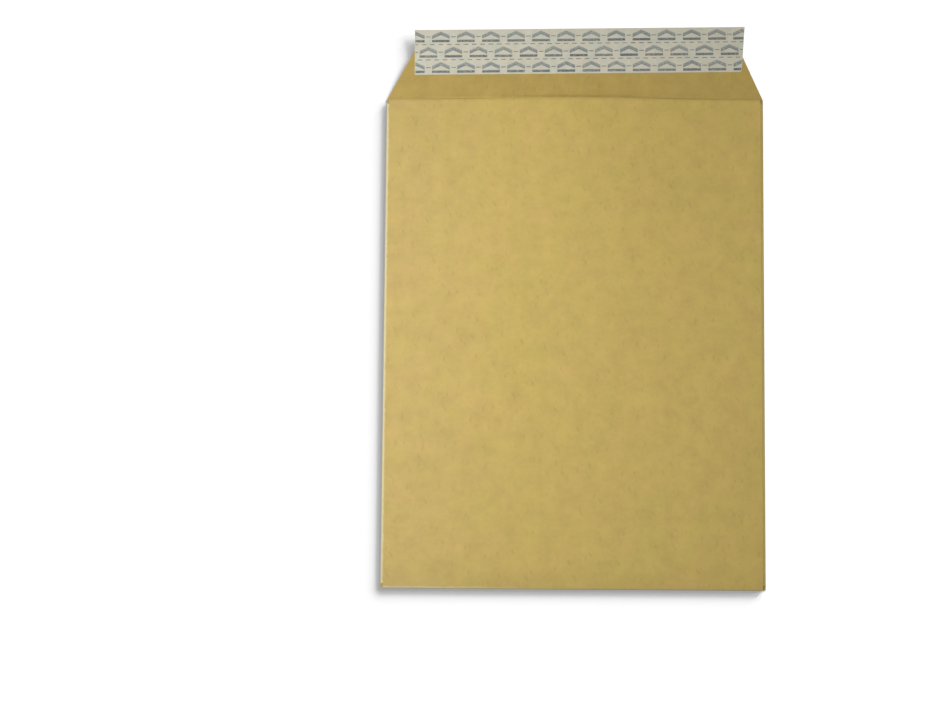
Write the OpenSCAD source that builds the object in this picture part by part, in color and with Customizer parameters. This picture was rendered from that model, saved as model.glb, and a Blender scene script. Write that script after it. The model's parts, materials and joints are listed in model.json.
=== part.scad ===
// Open-end pocket envelope of brown kraft paper, lying with its back up and its closing flap open.
//
// One paper blank makes the whole pocket. The front panel lies underneath. A side flap turns in over
// it along each side, the back panel turns up at the bottom and is glued over both side flaps, and the
// closing flap runs on from the front panel past the throat and rises a little from its crease. The
// back panel bows up a little between the seams, so that the mouth stands slightly open. A strip of
// adhesive on the closing flap is covered by a printed release liner, which is longer than the flap's
// own edge.
//
// Origin: centre of the pocket, midway between the bottom fold and the shoulders where the closing flap
// starts to narrow, on the surface that the envelope lies on.
// +X runs to the right with the back up, +Y towards the closing flap, +Z up.

/* [Pocket] */
// Width of the pocket between its two side folds
pocket_w = 254; // [180:1:330]
// Length of the pocket from the bottom fold to the shoulders, where the closing flap starts to narrow
pocket_l = 330; // [220:1:450]
// Distance from the shoulders up to the closing flap's crease
shoulder_drop = 1.4; // [0:0.1:3]
// Distance from the back panel's free edge to the crease
throat_gap = 1; // [0.5:0.1:20]
// Height of the open mouth at the middle of the back panel's free edge
mouth_gape = 5.8; // [2:0.1:12]
// Length of back panel that stays flat above the bottom fold
flat_foot_l = 15; // [5:1:60]

/* [Kraft paper] */
// Thickness of the paper
paper_t = 0.15; // [0.1:0.01:0.25]
// Inside radius of the pressed side folds
fold_r = 0.2; // [0.1:0.05:0.5]

/* [Side seams] */
// Width of each side flap from the side fold to its cut edge
side_flap_w = 22; // [18:0.5:40]
// Distance from the ends of each side fold to the shoulder and to the bottom fold
side_flap_relief = 2.5; // [1:0.5:10]
// Slant of the side flap's two ends, in degrees
side_flap_slant = 20; // [0:1:40]
// Strip of side flap left bare between the side fold and the back panel's cut edge
back_inset = 1.6; // [0.5:0.1:4]
// Width of each line of seam glue
glue_w = 14; // [6:0.5:16]
// Thickness of the seam glue
glue_t = 0.05; // [0.03:0.01:0.1]
// Distance from the seam glue to the back panel's cut edge
glue_inset = 1.4; // [0.5:0.1:1.5]
// Distance from the ends of the seam glue to the ends of the side fold
glue_end_gap = 12; // [10:1:30]

/* [Closing flap] */
// Length of the closing flap from its crease to its free edge
flap_l = 47.1; // [38:0.1:80]
// Slant of the closing flap's left side, in degrees
flap_left_slant = 28.3; // [0:0.1:40]
// Slant of the closing flap's right side, in degrees
flap_right_slant = 24.2; // [0:0.1:40]
// Rise of the closing flap for each millimetre of its length, from the spring of its crease
flap_slope = 0.02; // [0.005:0.005:0.05]

/* [Flap adhesive] */
// Width of the adhesive strip
adhesive_w = 26; // [10:1:28]
// Thickness of the adhesive strip
adhesive_t = 0.05; // [0.03:0.01:0.1]
// Bare margin between the adhesive and the sides of the closing flap
adhesive_inset = 2; // [1:0.5:10]

/* [Release liner] */
// Width of the release liner
liner_w = 31; // [30:0.1:36]
// Thickness of the release liner
liner_t = 0.07; // [0.05:0.01:0.12]
// Distance from the left side of the pocket to the liner's left end
liner_left_inset = 18.5; // [10:0.5:40]
// Distance from the right side of the pocket to the middle of the liner's right end
liner_right_inset = 13.1; // [10:0.1:40]
// How far the liner's middle reaches past the closing flap's free edge
liner_over = 1; // [0:0.1:3]
// Turn of the liner on the flap, in degrees
liner_turn = 0.6; // [-1:0.05:1]
// Slant of the liner's right end, in degrees
liner_end_slant = 4.5; // [0:0.5:10]
// Radius of the liner's lower right corner
liner_corner_r = 1.6; // [0.5:0.1:5]

/* [Liner print] */
// Thickness of the printed ink
ink_t = 0.02; // [0.01:0.01:0.05]
// Bare margin along the liner's edges
ink_margin = 0.4; // [0.2:0.1:2]
// Distance between two printed signs in a row
sign_pitch = 17; // [14:0.5:30]
// Distance between two rows of printed signs
row_pitch = 10.6; // [9:0.1:16]
// Width of one printed sign
sign_w = 12; // [6:0.5:12]
// Height of the arrowhead in a printed sign
arrow_h = 2.7; // [1:0.1:2.8]
// Stroke of the arrowhead, measured upright
arrow_stroke = 2.5; // [0.8:0.1:2.6]
// Thickness of the bar under the arrowhead
bar_h = 1.7; // [0.5:0.1:1.8]
// Bare space between the arrowhead and the bar
bar_gap = 0.6; // [0.3:0.1:0.7]
// Length of the fine dash between two signs
dash_l = 3.2; // [1:0.1:3.4]
// Thickness of the fine dash
dash_h = 0.6; // [0.3:0.1:1]
// Number of fine dashes to each sign in the line between two rows
line_dashes = 3; // [1:1:4]

/* [Hidden] */

KRAFT = [0.76, 0.66, 0.42];
GLUE = [0.90, 0.84, 0.66];
ADHESIVE = [0.93, 0.90, 0.78];
LINER = [0.78, 0.77, 0.70];
INK = [0.42, 0.48, 0.51];

// Levels, from the surface upwards
side_flap_z = paper_t + 2 * fold_r;
glue_z = side_flap_z + paper_t;
back_z = glue_z + glue_t;
adhesive_z = paper_t;
liner_z = adhesive_z + adhesive_t;
ink_z = liner_z + liner_t;

// The bottom fold spans from the front panel up to the back panel
bottom_fold_r = (back_z - paper_t) / 2;
side_bend = fold_r + paper_t;
bottom_bend = bottom_fold_r + paper_t;

// Lines across the envelope
foot_y = -pocket_l / 2;
bend_y = foot_y + bottom_bend;
shoulder_y = pocket_l / 2;
crease_y = shoulder_y + shoulder_drop;
throat_y = crease_y - throat_gap;
bow_y = foot_y + flat_foot_l;
edge_y = crease_y + flap_l;

// Widths
half_w = pocket_w / 2;
back_half_w = half_w - back_inset;
glue_outer_x = back_half_w - glue_inset;
bow_half_w = glue_outer_x - glue_w;
flap_left_x = -half_w + (edge_y - shoulder_y) * tan(flap_left_slant);
flap_right_x = half_w - (edge_y - shoulder_y) * tan(flap_right_slant);
bow_rise = mouth_gape - (back_z - paper_t);

// Ends of the side folds, and the run of the side flap's slanted ends
side_fold_y0 = bend_y + side_flap_relief;
side_fold_y1 = shoulder_y - side_flap_relief;
side_flap_run = (side_flap_w - side_bend) * tan(side_flap_slant);

// The liner is drawn about its own centre and then placed on the flap
liner_l = pocket_w - liner_left_inset - liner_right_inset;
liner_x = (liner_left_inset - liner_right_inset) / 2;
liner_y = edge_y + liner_over - liner_w / 2;

bow_columns = 32; // facets across the bowed back panel
bow_rows = 14; // facets along it
foot_lap = 8; // length over which the flat foot and the bowed panel are one sheet
corner_steps = 6; // chords in the liner's rounded corner
past = 1; // how far a cutting shape reaches past what it cuts
reach_y = edge_y + liner_w; // end of the slabs that the flap's layers are cut from
tall = pocket_w; // height of the plan shapes that cut them

// Rise of the back panel above its seams: nothing at the glue lines and the flat foot, most at the throat
function across(x) = abs(x) >= bow_half_w ? 0 : pow(cos(90 * x / bow_half_w), 2);
function along(y) = let (u = max(0, (y - bow_y) / (throat_y - bow_y))) u * u * (3 - 2 * u);
function back_rise(x, y) = bow_rise * across(x) * along(y);

// Half ring of paper of inside radius r, its two ends on the line x = 0
module bend_profile(r) {
    outer = r + paper_t;
    difference() {
        circle(outer, $fn = 48);
        circle(r, $fn = 48);
        translate([-outer - past, -outer - past]) square([outer + past, 2 * (outer + past)]);
    }
}

// Slab of thickness t at level z, flat from start_y to the crease and rising from there with the flap.
// What is drawn in plan as the child is cut out of it.
module sloped_layer(z, t, start_y) {
    end_z = flap_slope * (reach_y - crease_y);
    intersection() {
        translate([-half_w - past, 0, 0]) rotate([90, 0, 90])
            linear_extrude(pocket_w + 2 * past)
                polygon([
                    [start_y, z], [crease_y, z], [reach_y, end_z + z],
                    [reach_y, end_z + z + t], [crease_y, z + t], [start_y, z + t],
                ]);
        translate([0, 0, -past]) linear_extrude(tall) children();
    }
}

// Front panel and closing flap in one sheet, cut back where the side flaps turn up
module front_and_closing_flap() {
    sloped_layer(0, paper_t, bend_y - past)
        difference() {
            polygon([
                [-half_w, bend_y], [half_w, bend_y], [half_w, shoulder_y],
                [flap_right_x, edge_y], [flap_left_x, edge_y], [-half_w, shoulder_y],
            ]);
            for (side = [-1, 1])
                translate([side * (half_w - side_bend / 2 + past / 2), (side_fold_y0 + side_fold_y1) / 2])
                    square([side_bend + past, side_fold_y1 - side_fold_y0], center = true);
        }
}

// Right-hand side fold with its flap turned in over the front panel
module side_flap() {
    fold_x = half_w - side_bend;
    translate([fold_x, side_fold_y1, paper_t + fold_r])
        rotate([90, 0, 0]) linear_extrude(side_fold_y1 - side_fold_y0) bend_profile(fold_r);
    translate([0, 0, side_flap_z])
        linear_extrude(paper_t)
            polygon([
                [fold_x, side_fold_y0], [fold_x, side_fold_y1],
                [half_w - side_flap_w, side_fold_y1 - side_flap_run],
                [half_w - side_flap_w, side_fold_y0 + side_flap_run],
            ]);
}

// Bottom fold and the flat foot of the back panel
module bottom_fold() {
    translate([back_half_w, bend_y, paper_t + bottom_fold_r])
        rotate([90, 0, -90]) linear_extrude(2 * back_half_w) bend_profile(bottom_fold_r);
    translate([-back_half_w, bend_y, back_z])
        cube([2 * back_half_w, bow_y - bend_y, paper_t]);
}

// Bowed back panel: one sheet over a grid of columns and rows, of even thickness
module bowed_back() {
    inner = [for (i = [0:bow_columns]) bow_half_w * (2 * i / bow_columns - 1)];
    xs = concat([-back_half_w], inner, [back_half_w]);
    start_y = bow_y - foot_lap * flat_foot_l / (flat_foot_l + foot_lap);
    ys = concat([start_y], [for (j = [0:bow_rows]) bow_y + (throat_y - bow_y) * j / bow_rows]);
    nx = len(xs);
    ny = len(ys);
    layer = nx * ny;
    points = [for (top = [0, 1], y = ys, x = xs) [x, y, back_z + top * paper_t + back_rise(x, y)]];
    under = [
        for (j = [0:ny - 2], i = [0:nx - 2]) let (a = j * nx + i)
            each [[a, a + 1, a + nx + 1], [a, a + nx + 1, a + nx]]
    ];
    upper = [for (f = under) [f[2] + layer, f[1] + layer, f[0] + layer]];
    ends = [
        for (i = [0:nx - 2]) let (a = i, b = (ny - 1) * nx + i)
            each [
                [a, a + layer, a + 1], [a + 1, a + layer, a + layer + 1],
                [b, b + 1, b + layer], [b + 1, b + layer + 1, b + layer],
            ]
    ];
    sides = [
        for (j = [0:ny - 2]) let (a = j * nx, b = j * nx + nx - 1)
            each [
                [a, a + nx, a + layer], [a + nx, a + nx + layer, a + layer],
                [b, b + layer, b + nx], [b + nx, b + layer, b + nx + layer],
            ]
    ];
    polyhedron(points, concat(under, upper, ends, sides));
}

module kraft_blank() {
    color(KRAFT) {
        front_and_closing_flap();
        side_flap();
        mirror([1, 0, 0]) side_flap();
        bottom_fold();
        bowed_back();
    }
}

// Line of glue between a side flap and the back panel: side is -1 on the left, 1 on the right
module seam_glue(side) {
    y0 = side_fold_y0 + glue_end_gap;
    y1 = side_fold_y1 - glue_end_gap;
    color(GLUE)
        translate([side * (glue_outer_x - glue_w / 2), (y0 + y1) / 2, glue_z + glue_t / 2])
            cube([glue_w, y1 - y0, glue_t], center = true);
}

// Places a flat shape that is drawn about the liner's centre
module on_liner() {
    translate([liner_x, liner_y]) rotate(liner_turn) children();
}

// Liner's outline less a margin, with its slanted right end and its rounded lower right corner
module liner_outline(margin = 0) {
    half_l = liner_l / 2 - margin;
    half_h = liner_w / 2 - margin;
    lean = tan(liner_end_slant);
    corner_y = -half_h + liner_corner_r;
    corner_x = half_l + corner_y * lean - liner_corner_r / cos(liner_end_slant);
    corner = [
        for (k = [0:corner_steps]) let (a = -90 + (90 - liner_end_slant) * k / corner_steps)
            [corner_x + liner_corner_r * cos(a), corner_y + liner_corner_r * sin(a)]
    ];
    polygon(concat([[-half_l, -half_h]], corner, [[half_l + half_h * lean, half_h], [-half_l, half_h]]));
}

module flap_adhesive() {
    left_run = adhesive_inset / cos(flap_left_slant);
    right_run = adhesive_inset / cos(flap_right_slant);
    color(ADHESIVE)
        sloped_layer(adhesive_z, adhesive_t, throat_y)
            intersection() {
                polygon([
                    [-half_w + left_run, shoulder_y], [half_w - right_run, shoulder_y],
                    [flap_right_x - right_run, edge_y], [flap_left_x + left_run, edge_y],
                ]);
                on_liner() square([liner_l, adhesive_w], center = true);
                on_liner() liner_outline();
            }
}

module release_liner() {
    color(LINER)
        sloped_layer(liner_z, liner_t, throat_y) on_liner() liner_outline();
}

// Printed sign: an arrowhead that points to the free edge, over a bar
module printed_sign() {
    half = sign_w / 2;
    sign_h = bar_h + bar_gap + arrow_h + arrow_stroke;
    foot = -sign_h / 2;
    arrow = foot + bar_h + bar_gap;
    translate([-half, foot]) square([sign_w, bar_h]);
    polygon([
        [-half, arrow], [0, arrow + arrow_h], [half, arrow],
        [half, arrow + arrow_stroke], [0, arrow + arrow_h + arrow_stroke], [-half, arrow + arrow_stroke],
    ]);
}

// Fine dash of the print, drawn about its own centre
module fine_dash() {
    square([dash_l, dash_h], center = true);
}

// Rows of signs with a fine dash between neighbours, every other row moved along by half a pitch, and a
// line of fine dashes between two rows
module liner_print() {
    columns = ceil(liner_l / sign_pitch / 2) + 1;
    rows = ceil(liner_w / row_pitch / 2);
    color(INK)
        sloped_layer(ink_z, ink_t, throat_y)
            on_liner()
                intersection() {
                    liner_outline(ink_margin);
                    for (row = [-rows:rows], column = [-columns:columns])
                        translate([(column + abs(row % 2) / 2) * sign_pitch, row * row_pitch]) {
                            printed_sign();
                            translate([sign_pitch / 2, 0]) fine_dash();
                            for (step = [0:line_dashes - 1])
                                translate([(step + 0.5) * sign_pitch / line_dashes, row_pitch / 2])
                                    fine_dash();
                        }
                }
}

kraft_blank();
seam_glue(-1);  // seam_glue_left
seam_glue(1);  // seam_glue_right
flap_adhesive();
release_liner();
liner_print();
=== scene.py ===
"""Brown kraft pocket envelope, lying back up with its closing flap open and its liner still on.

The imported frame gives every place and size. Three pieces are made anew over it: the folded sheet, the
release liner and the liner's print. The glue lines and the adhesive keep their solids. All sizes are in
metres, in the frame's own axes.
"""

import json
import logging
import math
from collections.abc import Callable, Sequence
from dataclasses import asdict, dataclass
from enum import Enum, IntEnum
from functools import reduce

import bmesh
import bpy
import numpy as np
from bpy.types import Collection, Light, Material, Mesh, Node, NodeSocket, NodeTree, Object
from mathutils import Euler, Matrix, Vector

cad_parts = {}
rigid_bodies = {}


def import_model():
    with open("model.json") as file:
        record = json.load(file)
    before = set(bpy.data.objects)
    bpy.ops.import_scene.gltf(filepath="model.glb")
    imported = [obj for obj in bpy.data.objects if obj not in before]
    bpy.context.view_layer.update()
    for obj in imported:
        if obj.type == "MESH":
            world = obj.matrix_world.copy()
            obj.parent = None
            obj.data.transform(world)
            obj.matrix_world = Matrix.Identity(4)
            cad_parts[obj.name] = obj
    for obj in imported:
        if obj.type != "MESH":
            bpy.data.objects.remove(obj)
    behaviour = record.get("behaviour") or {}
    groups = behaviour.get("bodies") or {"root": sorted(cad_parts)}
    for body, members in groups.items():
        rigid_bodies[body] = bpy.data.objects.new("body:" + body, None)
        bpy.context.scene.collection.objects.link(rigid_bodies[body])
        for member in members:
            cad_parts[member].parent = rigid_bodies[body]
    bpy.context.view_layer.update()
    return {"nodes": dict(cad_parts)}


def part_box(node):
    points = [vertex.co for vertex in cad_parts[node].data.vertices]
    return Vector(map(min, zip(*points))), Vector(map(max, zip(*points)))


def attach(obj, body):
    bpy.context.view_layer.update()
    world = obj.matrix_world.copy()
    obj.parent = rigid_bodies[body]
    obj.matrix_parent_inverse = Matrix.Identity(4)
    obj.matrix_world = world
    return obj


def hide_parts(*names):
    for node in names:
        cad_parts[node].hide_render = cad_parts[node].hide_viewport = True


LOG = logging.getLogger("envelope")
MM = 0.001
SHEET_PLACE = "sheet_place"
ON_BACK = "on_back"
INK_TONE = "ink_tone"
INK_DENSITY = "ink_density"
SHARP_ANGLE = math.radians(40.0)
WHITE = (1.0, 1.0, 1.0, 1.0)
# Nearly all values of a noise texture lie in this range
NOISE_LOW, NOISE_MIDDLE, NOISE_HIGH = 0.3, 0.5, 0.7

# The socket that a group's input of each type of value gets; a geometry has no value
SOCKET_SORTS = {
    type(None): "Geometry",
    int: "Int",
    float: "Float",
    Vector: "Vector",
    Material: "Material",
}

Colour = tuple[float, float, float, float]


class PaperSide(IntEnum):
    """Side of the kraft sheet that a face belongs to, and its material's place on the piece."""

    OUTER = 0
    INNER = 1
    CUT = 2


class Slot(Enum):
    """Material slot of the record that a piece takes its finish from."""

    KRAFT = "kraft_paper"
    LINER = "liner_paper"
    INK = "liner_ink"


def spaced(start: float, end: float, count: int) -> list[float]:
    """Values from start to end, with count even steps between them."""
    return np.linspace(start, end, count + 1).tolist()


# Node trees


class Signal:
    """Value that runs through a node tree. The usual operators add Math nodes to it."""

    def __init__(self, tree: "Tree", socket: NodeSocket) -> None:
        """Takes a node's output."""
        self.tree = tree
        self.socket = socket

    def __add__(self, other: "Amount") -> "Signal":
        """Sum with a second value."""
        return self.tree.math("ADD", self, other)

    def __mul__(self, other: "Amount") -> "Signal":
        """Product with a second value."""
        return self.tree.math("MULTIPLY", self, other)

    def __sub__(self, other: "Amount") -> "Signal":
        """This value less a second one."""
        return self.tree.math("SUBTRACT", self, other)

    def __rsub__(self, other: float) -> "Signal":
        """A plain number less this value."""
        return self.tree.math("SUBTRACT", other, self)

    def __truediv__(self, other: "Amount") -> "Signal":
        """This value divided by a second one."""
        return self.tree.math("DIVIDE", self, other)

    def __rtruediv__(self, other: float) -> "Signal":
        """A plain number divided by this value."""
        return self.tree.math("DIVIDE", other, self)

    def __abs__(self) -> "Signal":
        """This value without its sign."""
        return self.tree.math("ABSOLUTE", self)


Amount = float | tuple | Signal
Sockets = dict[str, Signal]


class Tree:
    """Node tree that is being filled, with short ways to add nodes and to link them."""

    def __init__(self, tree: NodeTree) -> None:
        """Takes over a tree and empties it."""
        self.tree = tree
        tree.nodes.clear()

    def add(self, kind: str, inputs: dict | None = None, **settings: object) -> Node:
        """Adds one node.

        Args:
            kind: The node's type name.
            inputs: What each input takes, by its name or number: a plain value or a signal.
            settings: The node's own properties.

        Returns:
            The new node.
        """
        node = self.tree.nodes.new(kind)
        for name, value in settings.items():
            setattr(node, name, value)
        for key, value in (inputs or {}).items():
            self.feed(node.inputs[key], value)
        return node

    def feed(self, socket: NodeSocket, value: object) -> None:
        """Links a socket to a signal, or sets it to a plain value.

        Args:
            socket: The input.
            value: The signal or the value.
        """
        if isinstance(value, Signal):
            self.tree.links.new(value.socket, socket)
        else:
            socket.default_value = value

    def get(
        self, kind: str, inputs: dict | None = None, key: int | str = 0, **settings: object
    ) -> Signal:
        """Adds one node and takes its output of this name or number."""
        return Signal(self, self.add(kind, inputs, **settings).outputs[key])

    def parts(self, kind: str, inputs: dict | None = None, **settings: object) -> Sockets:
        """Adds one node and takes all its outputs, by their names."""
        node = self.add(kind, inputs, **settings)
        return {socket.name: Signal(self, socket) for socket in node.outputs}

    def math(self, operation: str, a: Amount, b: Amount = 0.0) -> Signal:
        """Result of a Math node for one or two values."""
        return self.get("ShaderNodeMath", {0: a, 1: b}, operation=operation)

    def highest(self, *values: Amount) -> Signal:
        """The highest of some values."""
        return reduce(lambda a, b: self.math("MAXIMUM", a, b), values)

    def smooth(self, value: Signal, start: Amount, end: Amount) -> Signal:
        """Soft step of a value, from 0 at its start to 1 at its end."""
        inputs = {"Value": value, "From Min": start, "From Max": end}
        return self.get("ShaderNodeMapRange", inputs, interpolation_type="SMOOTHSTEP")

    def blend(self, share: Amount, first: Amount, second: Amount) -> Signal:
        """Mix of two colours, with the second one's share."""
        return self.get("ShaderNodeMix", {0: share, 6: first, 7: second}, 2, data_type="RGBA")

    def vector(self, operation: str, a: Amount, b: Amount) -> Signal:
        """Result of a Vector Math node for two places or colours."""
        return self.get("ShaderNodeVectorMath", {0: a, 1: b}, operation=operation)

    def scaled(self, vector: Signal, factor: Amount) -> Signal:
        """Place or colour with all its parts multiplied by a factor."""
        return self.get("ShaderNodeVectorMath", {0: vector, "Scale": factor}, operation="SCALE")

    def axes(self, place: Signal) -> list[Signal]:
        """The three parts of a place."""
        return list(self.parts("ShaderNodeSeparateXYZ", {0: place}).values())

    def turned(self, place: Signal, turn_deg: float) -> Signal:
        """Place turned about Z by some degrees."""
        turn = (0.0, 0.0, math.radians(turn_deg))
        return self.get("ShaderNodeMapping", {"Vector": place, "Rotation": turn})

    def squeezed(self, place: Signal, factor: float) -> Signal:
        """Place whose Y is multiplied by a factor."""
        return self.get("ShaderNodeMapping", {"Vector": place, "Scale": (1.0, factor, 1.0)})

    def noise(
        self, place: Signal, scale: Amount, detail: float, roughness: float = 0.5, key: str = "Fac"
    ) -> Signal:
        """Noise with this many waves for each unit of its place."""
        inputs = {"Vector": place, "Scale": scale, "Detail": detail, "Roughness": roughness}
        return self.get("ShaderNodeTexNoise", inputs, key)

    def shifted(self, geometry: Signal, **offset: Amount) -> Signal:
        """Geometry with its points moved along X, Y or Z."""
        inputs = {"Geometry": geometry, "Offset": self.get("ShaderNodeCombineXYZ", offset)}
        return self.get("GeometryNodeSetPosition", inputs)

    def real(self, geometry: Signal) -> Signal:
        """Geometry with its instances made real."""
        return self.get("GeometryNodeRealizeInstances", {"Geometry": geometry})


def node_group(
    name: str, kind: str, inputs: dict[str, object], fill: Callable[[Tree, Sockets], Sockets]
) -> NodeTree:
    """Gives the node group of this name, which the first call makes.

    Args:
        name: The group's name.
        kind: ShaderNodeTree or GeometryNodeTree.
        inputs: Each input's usual value, by its name. It is None for a geometry.
        fill: Adds the nodes. It takes the tree and its inputs, and returns its outputs.

    Returns:
        The group.
    """
    if name in bpy.data.node_groups:
        return bpy.data.node_groups[name]
    group = bpy.data.node_groups.new(name, kind)
    for label, value in inputs.items():
        sort = "NodeSocket" + SOCKET_SORTS[type(value)]
        socket = group.interface.new_socket(label, in_out="INPUT", socket_type=sort)
        if value is not None:
            socket.default_value = value
    tree = Tree(group)
    outputs = fill(tree, tree.parts("NodeGroupInput"))
    for label, value in outputs.items():
        sort = "NodeSocketGeometry" if value.socket.type == "GEOMETRY" else "NodeSocketFloat"
        group.interface.new_socket(label, in_out="OUTPUT", socket_type=sort)
    tree.add("NodeGroupOutput", outputs)
    return group


def reshape(
    piece: Object, name: str, values: dict[str, object], fill: Callable[[Tree, Sockets], Signal]
) -> None:
    """Adds a Geometry Nodes modifier, with its inputs set by their identifiers.

    Args:
        piece: The object.
        name: The tree's name.
        values: The inputs' values, by their names. Finish is the result's material.
        fill: Adds the nodes. It takes the tree and its inputs, and returns the new geometry.
    """

    def close(tree: Tree, take: Sockets) -> Sockets:
        """Ends the tree with real instances and their material."""
        inputs = {"Geometry": tree.real(fill(tree, take)), "Material": take["Finish"]}
        return {"Geometry": tree.get("GeometryNodeSetMaterial", inputs)}

    modifier = piece.modifiers.new(name, "NODES")
    modifier.node_group = node_group(name, "GeometryNodeTree", {"Geometry": None, **values}, close)
    for item in modifier.node_group.interface.items_tree:
        if item.name in values:
            modifier[item.identifier] = values[item.name]


def settle(piece: Object) -> None:
    """Turns a piece with its modifiers into a plain mesh.

    Args:
        piece: The object, which keeps its name and loses its modifiers.
    """
    bpy.context.view_layer.update()
    evaluated = piece.evaluated_get(bpy.context.evaluated_depsgraph_get())
    mesh = bpy.data.meshes.new_from_object(evaluated)
    old = piece.data
    piece.modifiers.clear()
    piece.data = mesh
    mesh.name = piece.name
    bpy.data.meshes.remove(old)


def thicken(piece: Object, thickness: float, **settings: object) -> None:
    """Gives a sheet its thickness, half to each side, and makes it a plain mesh with smooth bends.

    Args:
        piece: The sheet's object, a middle surface with or without modifiers.
        thickness: The thickness.
        settings: More properties of the modifier.
    """
    solid = piece.modifiers.new("thickness", "SOLIDIFY")
    for name, value in {"thickness": thickness, "offset": 0.0, **settings}.items():
        setattr(solid, name, value)
    settle(piece)
    mesh = piece.data
    mesh.polygons.foreach_set("use_smooth", np.ones(len(mesh.polygons), bool))
    mesh.set_sharp_from_angle(angle=SHARP_ANGLE)


def new_piece(name: str, mesh: Mesh) -> Object:
    """Puts a mesh into the scene as a new object, at the origin.

    Args:
        name: The object's name.
        mesh: The mesh, in the frame's own place.

    Returns:
        The object.
    """
    piece = bpy.data.objects.new(name, mesh)
    bpy.context.scene.collection.objects.link(piece)
    return piece


# Sizes


@dataclass(frozen=True)
class PocketSizes:
    """Sizes of the folded pocket. The first ones are read from the frame, the others drive the folds."""

    half_w: float
    foot_y: float
    edge_y: float
    seam_inner_x: float
    glue_z: float
    back_z: float
    mouth_top: float
    paper_t: float = 0.15 * MM
    fold_r: float = 0.2 * MM
    back_inset: float = 1.6 * MM
    shoulder_drop: float = 1.4 * MM
    throat_gap: float = 1.0 * MM
    flat_foot_l: float = 15.0 * MM
    side_flap_w: float = 22.0 * MM
    side_flap_relief: float = 2.5 * MM
    side_flap_slant: float = math.radians(20.0)
    flap_left_slant: float = math.radians(28.3)
    flap_right_slant: float = math.radians(24.2)
    flap_slope: float = 0.02
    adhesive_t: float = 0.05 * MM
    adhesive_inset: float = 2.0 * MM

    @classmethod
    def from_frame(cls) -> "PocketSizes":
        """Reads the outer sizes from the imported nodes.

        Returns:
            The pocket's sizes.
        """
        low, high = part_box("kraft_blank")
        glue_low, glue_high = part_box("seam_glue_left")
        return cls(
            half_w=high.x,
            foot_y=low.y,
            edge_y=high.y,
            seam_inner_x=-glue_high.x,
            glue_z=glue_low.z,
            back_z=glue_high.z,
            mouth_top=high.z,
        )

    @property
    def shoulder_y(self) -> float:
        """Line where the closing flap starts to narrow, as far from the middle as the bottom fold."""
        return -self.foot_y

    @property
    def crease_y(self) -> float:
        """Line of the closing flap's crease."""
        return self.shoulder_y + self.shoulder_drop

    @property
    def throat_y(self) -> float:
        """Line of the back panel's free edge."""
        return self.crease_y - self.throat_gap

    @property
    def bow_y(self) -> float:
        """Line from which the back panel bows up."""
        return self.foot_y + self.flat_foot_l

    @property
    def bow_rise(self) -> float:
        """Rise of the back panel at the middle of the throat."""
        return self.mouth_top - self.back_z - self.paper_t

    @property
    def back_half_w(self) -> float:
        """Half of the back panel's width."""
        return self.half_w - self.back_inset

    @property
    def front_mid(self) -> float:
        """Middle of the front panel's thickness."""
        return self.paper_t / 2

    @property
    def side_mid(self) -> float:
        """Middle of the side flaps' thickness."""
        return self.glue_z - self.paper_t / 2

    @property
    def back_mid(self) -> float:
        """Middle of the flat back panel's thickness."""
        return self.back_z + self.paper_t / 2

    @property
    def side_bend(self) -> float:
        """Outer radius of the side folds."""
        return self.fold_r + self.paper_t

    @property
    def fold_x(self) -> float:
        """Line where the side folds leave the front panel."""
        return self.half_w - self.side_bend

    @property
    def side_r(self) -> float:
        """Radius of the side folds at the middle of the paper."""
        return (self.side_mid - self.front_mid) / 2

    @property
    def foot_r(self) -> float:
        """Radius of the bottom fold at the middle of the paper."""
        return (self.back_mid - self.front_mid) / 2

    @property
    def bend_y(self) -> float:
        """Line where the bottom fold leaves the front panel."""
        return self.foot_y + self.foot_r + self.paper_t / 2

    @property
    def side_fold_ends(self) -> tuple[float, float]:
        """Lower and upper end of the side folds."""
        return self.bend_y + self.side_flap_relief, self.shoulder_y - self.side_flap_relief

    def flap_sides(self, y: float) -> tuple[float, float]:
        """Left and right side of the closing flap on the line y."""
        left, right = (
            self.half_w - (y - self.shoulder_y) * math.tan(slant)
            for slant in (self.flap_left_slant, self.flap_right_slant)
        )
        return -left, right

    def on_flap(self, x: float, y: float) -> float:
        """Place across the closing flap of a line that starts at x on the shoulders."""
        left, right = self.flap_sides(y)
        return left + (x + self.half_w) / (2 * self.half_w) * (right - left)


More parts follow.
